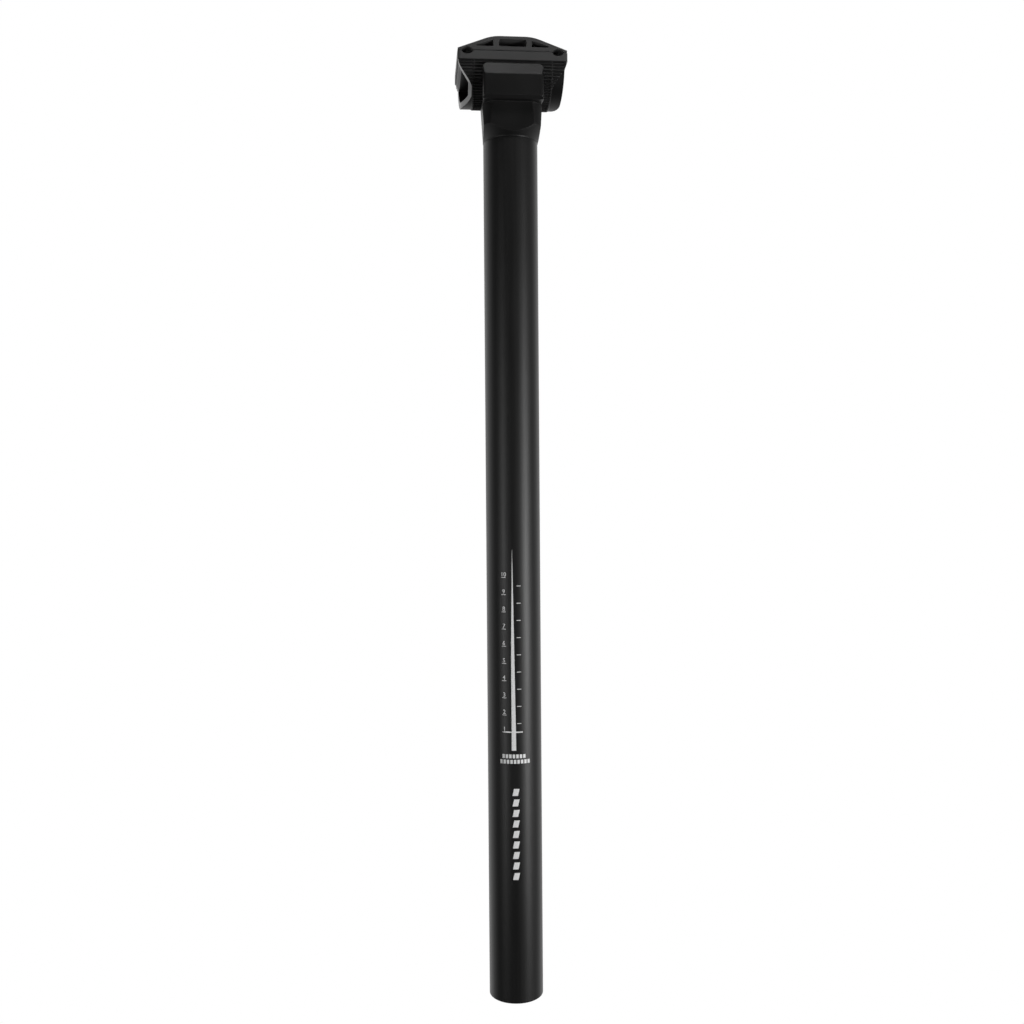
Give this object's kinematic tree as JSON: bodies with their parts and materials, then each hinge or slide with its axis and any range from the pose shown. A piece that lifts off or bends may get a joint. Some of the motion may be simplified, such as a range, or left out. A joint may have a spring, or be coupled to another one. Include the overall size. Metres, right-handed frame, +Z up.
{
  "type": "bicycle seatpost",
  "caption": "Straight round bicycle seatpost with a serrated tilt cradle and a two-piece saddle rail clamp held by a central bolt.",
  "frame": {"origin": "centre of the tube's open lower end, on the tube's axis", "axes": "+Z up the tube to the clamp, +Y along the saddle rails towards the front of the bicycle, +X across the rails to the right seen from behind; -Y is the rider's rear side, where the height scale is printed"},
  "size_m": [0.0538, 0.0416, 0.4792],
  "materials": {
    "tube_anodised": "satin black anodised",
    "head_black": "matte black, fine blasted",
    "clamp_black": "satin black anodised",
    "bolt_black": "black oxide",
    "zinc_steel": "zinc plated",
    "scale_print": "pale grey pad print"
  },
  "bodies": {
    "post": {"post_tube": "tube_anodised", "head_forging": "head_black"},
    "cradle": {"lower_clamp": "clamp_black", "saddle_washer": "zinc_steel", "clamp_nut": "zinc_steel"},
    "washers": {"flat_washer": "zinc_steel", "lock_washer": "zinc_steel"},
    "bolt": {"clamp_bolt": "bolt_black"},
    "top": {"upper_clamp": "clamp_black"}
  },
  "joints": [
    {"name": "clamp_tilt", "type": "hinge", "parent": "post", "child": "cradle", "pos_m": [0, 0, 0.4646], "axis": [1, 0, 0], "range_deg": [-10, 5]},
    {"name": "bolt_lift", "type": "slide", "parent": "cradle", "child": "washers", "axis": [0, 0, 1], "range_m": [0, 0.005]},
    {"name": "bolt_turn", "type": "hinge", "parent": "washers", "child": "bolt", "pos_m": [0, 0, 0.4712], "axis": [0, 0, 1], "range_deg": [0, 1440]},
    {"name": "clamp_yaw", "type": "hinge", "parent": "washers", "child": "top", "pos_m": [0, 0, 0.4712], "axis": [0, 0, 1], "range_deg": [-90, 90]}
  ],
  "couplings": [
    {"joint": "bolt_turn", "follows": "bolt_lift", "rad_per_m": 5026.5}
  ]
}
